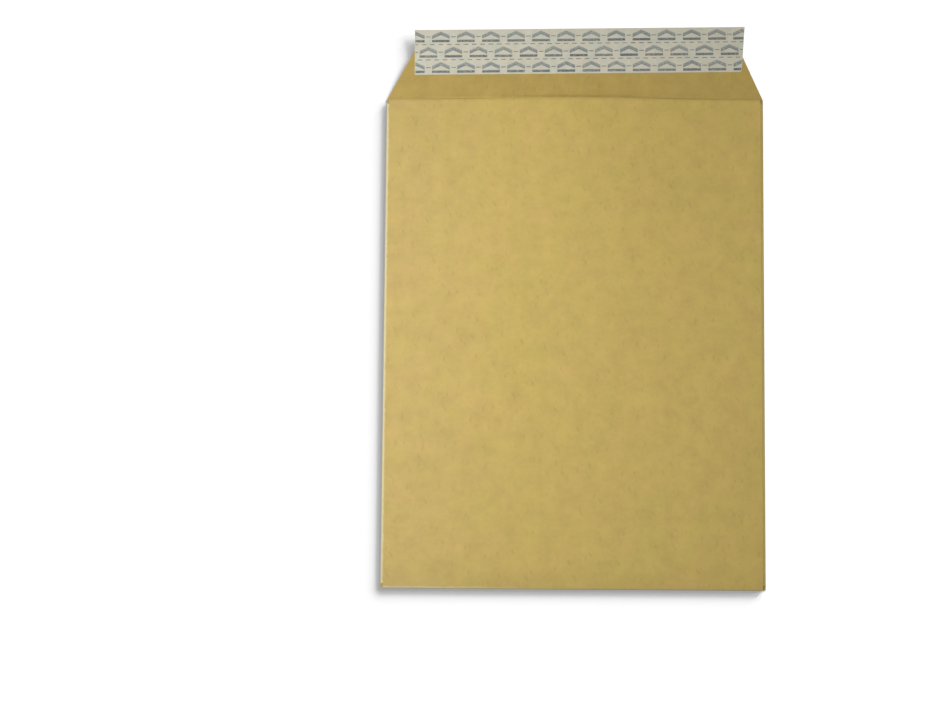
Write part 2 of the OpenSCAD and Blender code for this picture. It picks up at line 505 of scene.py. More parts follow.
@dataclass(frozen=True)
class LinerSizes:
    """Sizes of the release liner, drawn about its own centre and then turned and placed on the flap."""

    length: float
    centre: Vector
    width: float = 31.0 * MM
    thickness: float = 0.07 * MM
    turn: float = math.radians(0.6)
    end_slant: float = math.radians(4.5)
    corner_r: float = 1.6 * MM
    corner_steps: int = 5

    @classmethod
    def from_frame(cls, pocket: PocketSizes) -> "LinerSizes":
        """Reads the liner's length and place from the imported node.

        Args:
            pocket: The pocket's sizes.

        Returns:
            The liner's sizes.
        """
        low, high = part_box("release_liner")
        # The box is the turned outline's, which reaches furthest at its two upper corners
        half_lean = cls.width / 2 * math.tan(cls.end_slant)
        length = (high.x - low.x) / math.cos(cls.turn) - half_lean
        middle_x = low.x + (length * math.cos(cls.turn) + cls.width * math.sin(cls.turn)) / 2
        centre = Vector((middle_x, (low.y + high.y) / 2, pocket.paper_t + pocket.adhesive_t))
        return cls(length=length, centre=centre)

    @property
    def lean(self) -> float:
        """Run of the slanted end for each step up."""
        return math.tan(self.end_slant)

    def corner(self, margin: float = 0.0) -> tuple[float, float]:
        """Centre of the rounded corner, in the liner's own axes, of the outline less a margin."""
        v = margin - self.width / 2 + self.corner_r
        return self.length / 2 - margin + v * self.lean - self.corner_r / math.cos(self.end_slant), v

    def right_end(self, v: float) -> float:
        """Gives the place of the right end.

        Args:
            v: The height above the liner's middle, in the liner's own axes.

        Returns:
            The end's distance from the liner's middle.
        """
        corner_u, corner_v = self.corner()
        if v >= corner_v - self.corner_r * math.sin(self.end_slant):
            return self.length / 2 + v * self.lean
        return corner_u + math.sqrt(max(0.0, self.corner_r**2 - (v - corner_v) ** 2))

    def rows(self, step: float) -> list[float]:
        """Gives the heights of the mesh's rows, close together in the rounded corner.

        Args:
            step: The distance between the other rows.

        Returns:
            The heights, from the lower edge to the upper one.
        """
        low = -self.width / 2
        turns = spaced(0, math.pi / 2, self.corner_steps)
        count = round((self.width - self.corner_r) / step)
        above = spaced(low + self.corner_r, self.width / 2, count)[1:]
        return [*(low + self.corner_r * (1 - math.cos(a)) for a in turns), *above]

    def placed(self, u: float, v: float, z: float = 0.0) -> Vector:
        """Point of the liner in the frame's axes before the flap lifts it, from its own middle."""
        return Matrix.Rotation(self.turn, 3, "Z") @ Vector((u, v, z)) + self.centre


# Finishes


@dataclass(frozen=True)
class Flecks:
    """Small scattered marks of a paper web: one in each cell whose random number is high enough."""

    cells_per_mm: float
    least: float
    squeeze: float
    turn_deg: float
    soft: float
    small_r: float = 0.027
    more_r: float = 0.065
    least_step: float = 0.05

    def add_to(self, tree: Tree, place: Signal) -> Signal:
        """Adds the marks.

        Args:
            tree: The tree that they go into.
            place: The place in millimetres.

        Returns:
            Their mask.
        """
        drawn = tree.squeezed(tree.turned(place, self.turn_deg), self.squeeze)
        inputs = {"Vector": drawn, "Scale": self.cells_per_mm}
        cells = tree.parts("ShaderNodeTexVoronoi", inputs, voronoi_dimensions="2D")
        shown, large, _ = tree.parts("ShaderNodeSeparateColor", {0: cells["Color"]}).values()
        radius = large * self.more_r + self.small_r
        spot = tree.smooth(cells["Distance"], radius * (1.0 + self.soft), radius * (1.0 - self.soft))
        return spot * tree.smooth(shown, self.least, self.least + self.least_step)


class FibrePattern:
    """Shared shader group: clouds, streaks, fibres, flecks and small creases of a paper web."""

    WIDE_SHARE, NARROW_SHARE, STREAK_SHARE = 0.48, 0.25, 0.24
    NARROW_SCALE, STREAK_SCALE, WARMTH_SCALE = 3.7, 0.8, 0.6
    STREAK_SQUEEZE = 0.3
    FAR_AWAY = (131.0, 57.0, 29.0)
    GRAIN_PER_MM = 2.4
    DARK_FLECKS = Flecks(cells_per_mm=0.24, least=0.6, squeeze=2.2, turn_deg=96.0, soft=0.3)
    LIGHT_FLECKS = Flecks(cells_per_mm=0.15, least=0.6, squeeze=1.5, turn_deg=15.0, soft=0.5)
    CREASES = Flecks(cells_per_mm=0.048, least=0.2, squeeze=2.8, turn_deg=84.0, soft=0.7)
    MORE_CREASES = Flecks(cells_per_mm=0.042, least=0.2, squeeze=3.2, turn_deg=116.0, soft=0.7)
    FIBRE_TURNS_DEG = (14.0, 73.0, 128.0)
    FIBRES_PER_MM = 4.5
    WANDER_PER_MM, FIBRE_BEND = 0.55, 3.0
    FIBRE_CORE, FIBRE_RIM = 0.004, 0.03
    GRAIN_RELIEF, FIBRE_RELIEF, CREASE_RELIEF, CLOUD_RELIEF = 0.5, 0.3, 1.2, 0.35

    @classmethod
    def group(cls) -> NodeTree:
        """The group, which reads a place in millimetres and puts out masks and a height."""
        inputs = {"Place": Vector(), "Cloud size": 9.0, "Fibre length": 2.6}
        return node_group("paper web", "ShaderNodeTree", inputs, cls.fill)

    @classmethod
    def fill(cls, tree: Tree, take: Sockets) -> Sockets:
        """Adds the group's nodes.

        Args:
            tree: The group's tree.
            take: Its inputs.

        Returns:
            Its outputs.
        """
        place = take["Place"]
        moved = tree.vector("ADD", place, cls.FAR_AWAY)
        scale = 1.0 / take["Cloud size"]
        wide = tree.noise(place, scale, detail=2.0, roughness=0.55)
        narrow = tree.noise(place, scale * cls.NARROW_SCALE, detail=3.0, roughness=0.6)
        drawn = tree.squeezed(place, cls.STREAK_SQUEEZE)
        streak = tree.noise(drawn, scale * cls.STREAK_SCALE, detail=2.0)
        grain = tree.noise(moved, cls.GRAIN_PER_MM, detail=3.0, roughness=0.65)
        fibres = cls.fibres(tree, place, take["Fibre length"])
        creases = tree.highest(cls.CREASES.add_to(tree, place), cls.MORE_CREASES.add_to(tree, moved))
        relief = grain * cls.GRAIN_RELIEF + fibres * cls.FIBRE_RELIEF + creases * cls.CREASE_RELIEF
        return {
            "Cloud": wide * cls.WIDE_SHARE + narrow * cls.NARROW_SHARE + streak * cls.STREAK_SHARE,
            "Warmth": tree.noise(moved, scale * cls.WARMTH_SCALE, detail=2.0),
            "Grain": grain,
            "Fibres": fibres,
            "Dark flecks": cls.DARK_FLECKS.add_to(tree, place),
            "Light flecks": cls.LIGHT_FLECKS.add_to(tree, moved),
            "Creases": creases,
            "Height": relief + narrow * cls.CLOUD_RELIEF,
        }

    @classmethod
    def fibres(cls, tree: Tree, place: Signal, length: Signal) -> Signal:
        """Adds layers of thin bent fibres that run in different directions.

        Args:
            tree: The tree that they go into.
            place: The place in millimetres.
            length: The fibres' length in millimetres.

        Returns:
            Their mask.
        """
        wander = tree.noise(place, cls.WANDER_PER_MM, detail=1.0, key="Color")
        centred = tree.vector("SUBTRACT", wander, (NOISE_MIDDLE,) * 3)
        bent = tree.vector("ADD", place, tree.scaled(centred, cls.FIBRE_BEND))
        stretch = tree.get("ShaderNodeCombineXYZ", {"X": 1.0 / length, "Y": cls.FIBRES_PER_MM, "Z": 1.0})
        layers = []
        for turn_deg in cls.FIBRE_TURNS_DEG:
            drawn = tree.vector("MULTIPLY", tree.turned(bent, turn_deg), stretch)
            off_line = abs(tree.noise(drawn, scale=1.0, detail=0.0) - NOISE_MIDDLE)
            layers.append(1.0 - tree.smooth(off_line, cls.FIBRE_CORE, cls.FIBRE_RIM))
        return tree.highest(*layers)


class FoldAndThroatMasks:
    """Shared shader group: the strip along the pocket's folds, for wear and painted highlight, their roll,
    and the throat's strip for painted shade.
    """

    RAGGED_PER_M = 260.0
    CORE_SHARE = 0.3

    @classmethod
    def group(cls) -> NodeTree:
        """The group, which reads the object's place and puts out masks and the roll's height."""
        lines = {"Half width": 0.1, "Foot line": -0.1, "Throat line": 0.1, "Reach": 0.002}
        return node_group("pressed edges", "ShaderNodeTree", {"Place": Vector(), **lines}, cls.fill)

    @classmethod
    def fill(cls, tree: Tree, take: Sockets) -> Sockets:
        """Adds the group's nodes.

        Args:
            tree: The group's tree.
            take: Its inputs.

        Returns:
            Its outputs.
        """
        x, y, _ = tree.axes(take["Place"])
        from_fold = tree.math("MINIMUM", take["Half width"] - abs(x), y - take["Foot line"])
        from_throat = abs(take["Throat line"] - y)
        ragged = tree.noise(take["Place"], cls.RAGGED_PER_M, detail=3.0, roughness=0.6)
        wide = take["Reach"] * (ragged + NOISE_MIDDLE)
        rolled = tree.highest(1.0 - from_fold / take["Reach"], 0.0)
        return {
            "Folds": tree.smooth(from_fold, wide, wide * cls.CORE_SHARE),
            "Throat": tree.smooth(from_throat, wide, 0.0),
            "Roll": 1.0 - rolled * rolled,
        }


@dataclass(frozen=True)
class PaperLook:
    """Numbers of a paper's finish that differ between its sides."""

    base: Colour
    warm: Colour
    cool: Colour
    fibre: Colour
    fleck: Colour
    cloud_share: float = 0.3
    warmth_share: float = 0.5
    fibre_share: float = 0.2
    fleck_share: float = 0.3
    grain_share: float = 0.1
    crease_share: float = 0.1
    rough_low: float = 0.55
    rough_high: float = 0.75
    bump_depth: float = 0.02 * MM
    specular: float = 0.3
    cloud_size: float = 11.0
    fibre_length: float = 2.6


class Finish:
    """Base of the finishes: a material with one Principled shader."""

    def __init__(self, name: str) -> None:
        """Makes a plain material.

        Args:
            name: The material's name.
        """
        self.material = bpy.data.materials.new(name)
        self.material.use_nodes = True
        self.tree = Tree(self.material.node_tree)
        self.shader = self.tree.add("ShaderNodeBsdfPrincipled")
        surface = Signal(self.tree, self.shader.outputs[0])
        self.tree.add("ShaderNodeOutputMaterial", {"Surface": surface})

    def set(self, values: dict[str, object]) -> None:
        """Links or sets the shader's inputs, by their names."""
        for name, value in values.items():
            self.tree.feed(self.shader.inputs[name], value)

    def place_mm(self, attribute: str | None = None) -> Signal:
        """Gives the place on the piece in millimetres.

        Args:
            attribute: The mesh's own place attribute, or None for Object coordinates.

        Returns:
            The place.
        """
        if attribute:
            source = self.tree.get("ShaderNodeAttribute", key="Vector", attribute_name=attribute)
        else:
            source = self.tree.get("ShaderNodeTexCoord", key="Object")
        return self.tree.scaled(source, 1 / MM)

    def rough(self, pattern: Signal, low: float, high: float) -> None:
        """Lets a noise vary the roughness between two values."""
        inputs = {"Value": pattern, "From Min": NOISE_LOW, "From Max": NOISE_HIGH}
        inputs |= {"To Min": low, "To Max": high}
        self.set({"Roughness": self.tree.get("ShaderNodeMapRange", inputs)})

    def bump(self, height: Signal, depth: float) -> None:
        """Adds a relief to what already bends the shader's normal.

        Args:
            height: The height, about 0 to 1.
            depth: What a height of 1 stands for, in metres.
        """
        inputs = {"Strength": 1.0, "Distance": depth, "Height": height}
        normal = self.shader.inputs["Normal"]
        if normal.is_linked:
            inputs["Normal"] = Signal(self.tree, normal.links[0].from_socket)
        self.set({"Normal": self.tree.get("ShaderNodeBump", inputs)})


class PaperFinish(Finish):
    """Uncoated or coated paper: cloudy colour, fibres, flecks and a fine relief."""

    NAME: str
    LOOK: PaperLook
    ATTRIBUTE: str | None = None

    def __init__(self) -> None:
        """Builds the paper's nodes."""
        super().__init__(self.NAME)
        tree, look = self.tree, self.LOOK
        place = self.place_mm(self.ATTRIBUTE)
        inputs = {"Place": place, "Cloud size": look.cloud_size, "Fibre length": look.fibre_length}
        web = tree.parts("ShaderNodeGroup", inputs, node_tree=FibrePattern.group())
        hue = tree.blend(tree.smooth(web["Warmth"], NOISE_LOW, NOISE_HIGH), look.cool, look.warm)
        cloud = (web["Cloud"] - NOISE_MIDDLE) * (2 * look.cloud_share) + 1.0
        grain = (web["Grain"] - NOISE_MIDDLE) * (2 * look.grain_share)
        # Painted shade: the small creases are drawn darker in colour as well as raised by the bump
        level = cloud + grain - web["Creases"] * look.crease_share
        self.colour = tree.scaled(tree.blend(look.warmth_share, look.base, hue), level)
        for marks, share, colour in (
            ("Fibres", look.fibre_share, look.fibre),
            ("Dark flecks", look.fleck_share, look.fleck),
            ("Light flecks", look.fibre_share, look.fibre),
        ):
            self.colour = tree.blend(web[marks] * share, self.colour, colour)
        self.set({"Base Color": self.colour, "Specular IOR Level": look.specular})
        self.rough(web["Grain"], look.rough_low, look.rough_high)
        self.bump(web["Height"], look.bump_depth)


class KraftOuterFinish(PaperFinish):
    """Outer, smoother face of the kraft paper: paler along its folds from wear and, most at the left,
    painted highlight, with a painted sheen at its left and painted shade at its throat and foot.
    """

    NAME = "kraft paper outer face"
    ATTRIBUTE = SHEET_PLACE
    LOOK = PaperLook(
        base=(0.512, 0.373, 0.100, 1.0),
        warm=(0.524, 0.366, 0.106, 1.0),
        cool=(0.500, 0.380, 0.093, 1.0),
        fibre=(0.610, 0.465, 0.165, 1.0),
        fleck=(0.300, 0.190, 0.050, 1.0),
    )
    # Pale colour of the fold strips: wear along both folds, and painted highlight at the left one
    PALE: Colour = (0.670, 0.590, 0.330, 1.0)
    BLEACH = (1.01, 1.0, 1.34)
    BLEACH_SHARE, BLEACH_START = 0.5, 0.2
    WEAR, LEFT_WEAR, WEAR_END = 0.2, 0.75, 0.9
    STRIP_REACH = 2.0 * MM
    THROAT_SHADE, FOOT_SHADE = 0.12, 0.07
    FOOT_REACH = 1.5
    ROLL_DEPTH = 0.35 * MM

    def __init__(self, sizes: PocketSizes) -> None:
        """Builds the finish.

        Args:
            sizes: The pocket's sizes, for the pressed strips.
        """
        super().__init__()
        tree = self.tree
        place = tree.get("ShaderNodeTexCoord", key="Object")
        inputs = {
            "Place": place,
            "Half width": sizes.half_w,
            "Foot line": sizes.foot_y,
            "Throat line": sizes.throat_y,
            "Reach": self.STRIP_REACH,
        }
        edges = tree.parts("ShaderNodeGroup", inputs, node_tree=FoldAndThroatMasks.group())
        x, y, _ = tree.axes(place)
        # Painted highlight: the fold strip grows much paler towards the left, the side that faces the large
        # lamp; the small even share along both folds is wear
        share_map = tree.smooth(x, 0.0, -self.WEAR_END * sizes.half_w) * self.LEFT_WEAR + self.WEAR
        # Painted sheen: towards the left, where the large lamp is near, the colour turns paler and less
        # yellow, as the paper's sheen would make it
        at_left = tree.smooth(x, -self.BLEACH_START * sizes.half_w, -sizes.half_w)
        sheen_tinted = tree.vector("MULTIPLY", self.colour, self.BLEACH)
        body = tree.blend(at_left * self.BLEACH_SHARE, self.colour, sheen_tinted)
        body = tree.blend(edges["Folds"] * share_map, body, self.PALE)
        # Painted shade: darker along the back panel's throat edge, where it rolls over, and towards the
        # bottom fold, where the panel curves down
        at_foot = tree.smooth(y, sizes.foot_y + self.FOOT_REACH * sizes.flat_foot_l, sizes.foot_y)
        level = 1.0 - edges["Throat"] * self.THROAT_SHADE - at_foot * self.FOOT_SHADE
        self.set({"Base Color": tree.scaled(body, level)})
        self.bump(edges["Roll"], self.ROLL_DEPTH)


class KraftInnerFinish(PaperFinish):
    """Inner, rougher and darker face of the kraft paper, seen on the open closing flap."""

    NAME = "kraft paper inner face"
    ATTRIBUTE = SHEET_PLACE
    LOOK = PaperLook(
        base=(0.427, 0.304, 0.078, 1.0),
        warm=(0.438, 0.299, 0.083, 1.0),
        cool=(0.416, 0.309, 0.072, 1.0),
        fibre=(0.520, 0.388, 0.135, 1.0),
        fleck=(0.250, 0.155, 0.040, 1.0),
        rough_low=0.68,
        rough_high=0.85,
        bump_depth=0.03 * MM,
    )
    CREASE_RIM, CREASE_CORE = 2.6 * MM, 1.2 * MM
    CREASE_GLOW = 0.85
    GLOW_LEFT = 0.06

    def __init__(self, sizes: PocketSizes) -> None:
        """Builds the finish, with painted light along the crease, most at its middle, where it lifts the
        shadow that the raised mouth edge casts.

        Args:
            sizes: The pocket's sizes.
        """
        super().__init__()
        tree = self.tree
        x, y, _ = tree.axes(tree.get("ShaderNodeTexCoord", key="Object"))
        middle = tree.smooth(abs(x + self.GLOW_LEFT * sizes.half_w), sizes.half_w, 0.0)
        crease = tree.smooth(abs(y - sizes.throat_y), self.CREASE_RIM, self.CREASE_CORE)
        # Painted light: paler along the crease, filling in the shadow of the raised back panel's edge
        painted_light = crease * (middle * middle * self.CREASE_GLOW) + 1.0
        self.set({"Base Color": tree.scaled(self.colour, painted_light)})


class KraftCutFinish(PaperFinish):
    """Cut edge of the kraft paper: open, paler fibres."""

    NAME = "kraft paper cut edge"
    LOOK = PaperLook(
        base=(0.600, 0.470, 0.220, 1.0),
        warm=(0.620, 0.475, 0.205, 1.0),
        cool=(0.580, 0.470, 0.235, 1.0),
        fibre=(0.720, 0.600, 0.350, 1.0),
        fleck=(0.350, 0.240, 0.090, 1.0),
        fibre_share=0.4,
        rough_low=0.8,
        rough_high=0.95,
        specular=0.2,
    )


class LinerFinish(PaperFinish):
    """Smooth cream liner paper with a thin coat that lets it peel."""

    NAME = "liner paper"
    LOOK = PaperLook(
        base=(0.530, 0.509, 0.400, 1.0),
        warm=(0.565, 0.500, 0.375, 1.0),
        cool=(0.500, 0.512, 0.420, 1.0),
        fibre=(0.610, 0.590, 0.490, 1.0),
        fleck=(0.380, 0.340, 0.240, 1.0),
        cloud_share=0.26,
        warmth_share=0.6,
        fibre_share=0.25,
        crease_share=0.0,
        grain_share=0.06,
        rough_low=0.36,
        rough_high=0.48,
        bump_depth=0.006 * MM,
        specular=0.4,
        cloud_size=6.0,
    )

    def __init__(self) -> None:
        """Builds the finish with its coat."""
        super().__init__()
        self.set({"Coat Weight": 0.12, "Coat Roughness": 0.3})


class InkFinish(Finish):
    """Thin blue-grey ink, uneven as from a quick press, with the paper showing through it."""

    PALE: Colour = (0.235, 0.262, 0.258, 1.0)
    DEEP: Colour = (0.060, 0.078, 0.090, 1.0)
    PAPER: Colour = LinerFinish.LOOK.base
    PATCHES_PER_MM, PORES_PER_MM = 0.9, 5.5
    PATCH_SHARE, PORE_SHARE = 0.6, 0.4
    BARE_BELOW, INKED_ABOVE = 0.33, 0.55
    BARE_SHARE = 0.55
    DEPTH = 0.004 * MM

    def __init__(self) -> None:
        """Builds the ink's nodes."""
        super().__init__("liner ink")
        tree = self.tree
        place = self.place_mm()
        tone, density = (
            tree.get("ShaderNodeAttribute", key="Fac", attribute_name=name)
            for name in (INK_TONE, INK_DENSITY)
        )
        patches = tree.noise(place, self.PATCHES_PER_MM, detail=3.0, roughness=0.6)
        pores = tree.noise(place, self.PORES_PER_MM, detail=2.0, roughness=0.7)
        share_map = patches * self.PATCH_SHARE + pores * self.PORE_SHARE
        bare = (1.0 - tree.smooth(share_map, self.BARE_BELOW, self.INKED_ABOVE)) * self.BARE_SHARE
        bare = bare + (1.0 - density)
        body = tree.blend(tone, self.PALE, self.DEEP)
        self.set({"Base Color": tree.blend(bare, body, self.PAPER), "Specular IOR Level": 0.35})
        self.rough(pores, low=0.4, high=0.6)
        self.bump(pores, self.DEPTH)


@dataclass(frozen=True)
class GlueLook:
    """Numbers of a glue film's finish."""

    name: str
    thin: Colour
    thick: Colour
    rough_low: float
    rough_high: float
    coat: float


class GlueFinish(Finish):
    """Film of glue with drawn-out streaks and small bubbles."""

    SEAM = GlueLook(
        name="dried seam glue",
        thin=(0.62, 0.50, 0.26, 1.0),
        thick=(0.78, 0.68, 0.42, 1.0),
        rough_low=0.45,
        rough_high=0.65,
        coat=0.1,
    )
    FLAP = GlueLook(
        name="tacky flap adhesive",
        thin=(0.72, 0.66, 0.44, 1.0),
        thick=(0.82, 0.78, 0.60, 1.0),
        rough_low=0.18,
        rough_high=0.32,
        coat=0.5,
    )
    STREAK_SQUEEZE, STREAKS_PER_MM = 0.12, 1.3
    BUBBLES_PER_MM, BUBBLE_R, BUBBLE_RIM = 1.1, 0.1, 0.16
    DEPTH = 0.02 * MM

    def __init__(self, look: GlueLook) -> None:
        """Builds the film's nodes.

        Args:
            look: The film's numbers.
        """
        super().__init__(look.name)
        tree = self.tree
        place = self.place_mm()
        drawn = tree.squeezed(place, self.STREAK_SQUEEZE)
        streak = tree.noise(drawn, self.STREAKS_PER_MM, detail=3.0, roughness=0.6)
        inputs = {"Vector": place, "Scale": self.BUBBLES_PER_MM}
        bubble = tree.get("ShaderNodeTexVoronoi", inputs, "Distance")
        ring = tree.smooth(bubble, self.BUBBLE_R, self.BUBBLE_RIM)
        share = tree.smooth(streak, NOISE_LOW, NOISE_HIGH) * ring
        colour = tree.blend(share, look.thin, look.thick)
        self.set({"Base Color": colour, "Coat Weight": look.coat, "Coat Roughness": 0.15})
        self.rough(streak, look.rough_low, look.rough_high)
        self.bump(streak * ring, self.DEPTH)


# Folded kraft sheet


class SheetMesh:
    """Middle surface of a sheet, put together from grids that share their border points."""

    JOIN = 1e-7

    def __init__(self) -> None:
        """Starts with no grids."""
        self.points: list[Sequence[float]] = []
        self.places: list[tuple[float, float, float]] = []
        self.on_back: list[float] = []
        self.faces: list[tuple[int, int, int, int]] = []

    def add_grid(
        self,
        across: Sequence[float],
        along: Sequence[float],
        point: Callable[[float, float], Sequence[float]],
        place: Callable[[float, float], tuple[float, float]],
        flip: bool = False,
        keep: Callable[[float, float], bool] | None = None,
        on_back: float = 0.0,
    ) -> None:
        """Adds one grid.

        Args:
            across: The first parameter's values.
            along: The second parameter's values.
            point: The point in the frame for a pair of them.
            place: The same point on the unfolded sheet.
            flip: Whether the faces turn their other side out.
            keep: Whether the face whose middle has these parameters is there.
            on_back: 1 where the grid is the back panel, which bows.
        """
        start = len(self.points)
        rows = len(along)
        for a in across:
            for b in along:
                self.points.append(point(a, b))
                self.places.append((*place(a, b), 0.0))
                self.on_back.append(on_back)
        for i in range(len(across) - 1):
            for j in range(rows - 1):
                middle = ((across[i] + across[i + 1]) / 2, (along[j] + along[j + 1]) / 2)
                if keep and not keep(*middle):
                    continue
                k = start + i * rows + j
                corners = (k, k + rows, k + rows + 1, k + 1)
                self.faces.append(corners[::-1] if flip else corners)

    def build(self, name: str) -> Mesh:
        """Joins the grids into one mesh.

        Args:
            name: The mesh's name.

        Returns:
            The mesh, with its place on the sheet and its back panel marked on each point.
        """
        mesh = bpy.data.meshes.new(name)
        mesh.from_pydata(self.points, [], self.faces)
        places = mesh.attributes.new(SHEET_PLACE, "FLOAT_VECTOR", "POINT")
        places.data.foreach_set("vector", np.asarray(self.places, np.float32).ravel())
        back = mesh.attributes.new(ON_BACK, "FLOAT", "POINT")
        back.data.foreach_set("value", np.asarray(self.on_back, np.float32))
        joined = bmesh.new()
        joined.from_mesh(mesh)
        bmesh.ops.remove_doubles(joined, verts=joined.verts, dist=self.JOIN)
        loose = [v for v in joined.verts if not v.link_faces]
        bmesh.ops.delete(joined, geom=loose, context="VERTS")
        joined.to_mesh(mesh)
        joined.free()
        return mesh


@dataclass
class KraftSheet:
    """The one sheet of kraft paper: front panel, side flaps, bottom fold, back panel and closing flap."""

    sizes: PocketSizes
    step: float = 2.5 * MM
    front_step: float = 5.0 * MM
    fold_steps: int = 10
    side_flap_columns: int = 8
    cockle_height: float = 0.45 * MM
    cockle_length: float = 62.0 * MM
    cockle_stretch: float = 0.7
    foot_ease: float = 40.0 * MM
    seed: float = 7.0

    @property
    def back_columns(self) -> list[float]:
        """Lines along the back panel."""
        half = self.sizes.back_half_w
        return spaced(-half, half, round(2 * half / self.step))

    @property
    def columns(self) -> list[float]:
        """Lines along the front panel, close together at its side folds."""
        size = self.sizes
        return [-size.half_w, -size.fold_x, *self.back_columns, size.fold_x, size.half_w]

    @property
    def fold_rows(self) -> list[float]:
        """Lines across the side folds, from end to end."""
        low, high = self.sizes.side_fold_ends
        return spaced(low, high, round((high - low) / self.front_step))

    @property
    def turns(self) -> list[float]:
        """Angles round a fold."""
        return spaced(0, math.pi, self.fold_steps)

    def add_front(self, sheet: SheetMesh) -> None:
        """Adds the front panel and the closing flap.

        Args:
            sheet: The mesh that they go into.
        """
        size = self.sizes
        low, high = size.side_fold_ends
        sheet.add_grid(
            self.columns, [size.bend_y, *self.fold_rows, size.shoulder_y],
            lambda x, y: (x, y, size.front_mid),
            lambda x, y: (x, y),
            flip=True,
            keep=lambda x, y: abs(x) < size.fold_x or not low < y < high,
        )
        count = round((size.edge_y - size.crease_y) / self.step)
        sheet.add_grid(
            self.columns, [size.shoulder_y, *spaced(size.crease_y, size.edge_y, count)],
            lambda x, y: (
                size.on_flap(x, y), y, size.front_mid + size.flap_slope * max(0.0, y - size.crease_y)
            ),
            lambda x, y: (size.on_flap(x, y), y),
            flip=True,
        )

    def add_side_flap(self, sheet: SheetMesh, side: int) -> None:
        """Adds one side fold and the side flap behind it.

        Args:
            sheet: The mesh that they go into.
            side: -1 for the left one, 1 for the right one.
        """
        size = self.sizes
        low, high = size.side_fold_ends
        reach = size.side_flap_w - size.side_bend
        run = reach * math.tan(size.side_flap_slant)

        def line(t: float, y: float) -> float:
            """Line across the side flap, drawn in towards its slanted ends."""
            return low + run * t + (y - low) * (high - low - 2 * run * t) / (high - low)

        sheet.add_grid(
            self.turns, self.fold_rows,
            lambda a, y: (
                side * (size.fold_x + size.side_r * math.sin(a)),
                y,
                size.front_mid + size.side_r * (1 - math.cos(a)),
            ),
            lambda a, y: (side * (size.fold_x + size.side_r * a), y),
            flip=side > 0,
        )
        sheet.add_grid(
            spaced(0, 1, self.side_flap_columns), self.fold_rows,
            lambda t, y: (side * (size.fold_x - reach * t), line(t, y), size.side_mid),
            lambda t, y: (side * (size.fold_x + math.pi * size.side_r + reach * t), line(t, y)),
            flip=side > 0,
        )

    def add_back(self, sheet: SheetMesh) -> None:
        """Adds the bottom fold and the back panel, still flat.

        Args:
            sheet: The mesh that they go into.
        """
        size = self.sizes
        bend_y, radius = size.bend_y, size.foot_r
        sheet.add_grid(
            self.back_columns, self.turns,
            lambda x, a: (x, bend_y - radius * math.sin(a), size.front_mid + radius * (1 - math.cos(a))),
            lambda x, a: (x, bend_y - radius * a),
        )
        sheet.add_grid(
            self.back_columns, spaced(bend_y, size.throat_y, round((size.throat_y - bend_y) / self.step)),
            lambda x, y: (x, y, size.back_mid),
            lambda x, y: (x, 2 * bend_y - math.pi * radius - y),
            on_back=1.0,
        )

    def middle_surface(self) -> Mesh:
        """Builds the folded sheet without its thickness and bow.

        Returns:
            The mesh. Its faces turn the paper's outer face outwards.
        """
        sheet = SheetMesh()
        self.add_front(sheet)
        for side in (-1, 1):
            self.add_side_flap(sheet, side)
        self.add_back(sheet)
        return sheet.build("kraft_sheet")

    @staticmethod
    def bow(tree: Tree, take: Sockets) -> Signal:
        """Adds the nodes that bow the back panel and give it its faint waves.

        Args:
            tree: The geometry tree.
            take: Its inputs.

        Returns:
            The bowed sheet.
        """
        x, y, _ = tree.axes(tree.get("GeometryNodeInputPosition"))
        off_middle = tree.math("MINIMUM", abs(x) / take["Bow half width"], 1.0)
        across = tree.math("COSINE", off_middle * (math.pi / 2))
        along = tree.smooth(y, take["Bow start"], take["Throat line"])
        drawn = tree.get("ShaderNodeCombineXYZ", {"X": x, "Y": y * take["Cockle stretch"]})
        waves = {"Scale": 1.0 / take["Cockle length"], "Detail": 2.0, "Roughness": 0.4}
        inputs = {"Vector": drawn, "W": take["Seed"], **waves}
        cockle = tree.get("ShaderNodeTexNoise", inputs, "Fac", noise_dimensions="4D")
        foot = tree.smooth(y, take["Bow start"], take["Bow start"] + take["Foot ease"])
        sink = cockle * take["Cockle height"] * across * foot
        lift = across * across * along * take["Bow rise"] - sink
        on_back = tree.get("GeometryNodeInputNamedAttribute", {"Name": ON_BACK}, data_type="FLOAT")
        return tree.shifted(take["Geometry"], Z=lift * on_back)

    def build(self) -> Object:
        """Builds the sheet with its thickness, bow and three faces.

        Returns:
            The piece, dressed and riding on the frame.
        """
        size = self.sizes
        piece = new_piece("kraft_sheet", self.middle_surface())
        finishes = {
            PaperSide.OUTER: KraftOuterFinish(size),
            PaperSide.INNER: KraftInnerFinish(size),
            PaperSide.CUT: KraftCutFinish(),
        }
        for side in PaperSide:
            piece.data.materials.append(finishes[side].material)
        reshape(piece, "bowed back panel", {
            "Bow rise": size.bow_rise,
            "Bow half width": size.seam_inner_x,
            "Bow start": size.bow_y,
            "Throat line": size.throat_y,
            "Cockle height": self.cockle_height,
            "Cockle length": self.cockle_length,
            "Cockle stretch": self.cockle_stretch,
            "Foot ease": self.foot_ease,
            "Seed": self.seed,
            "Finish": finishes[PaperSide.OUTER].material,
        }, self.bow)
        offsets = {"material_offset": PaperSide.INNER, "material_offset_rim": PaperSide.CUT}
        thicken(piece, size.paper_t, use_even_offset=True, **offsets)
        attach(piece, "root")
        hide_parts("kraft_blank")
        return piece


# Release liner and its print


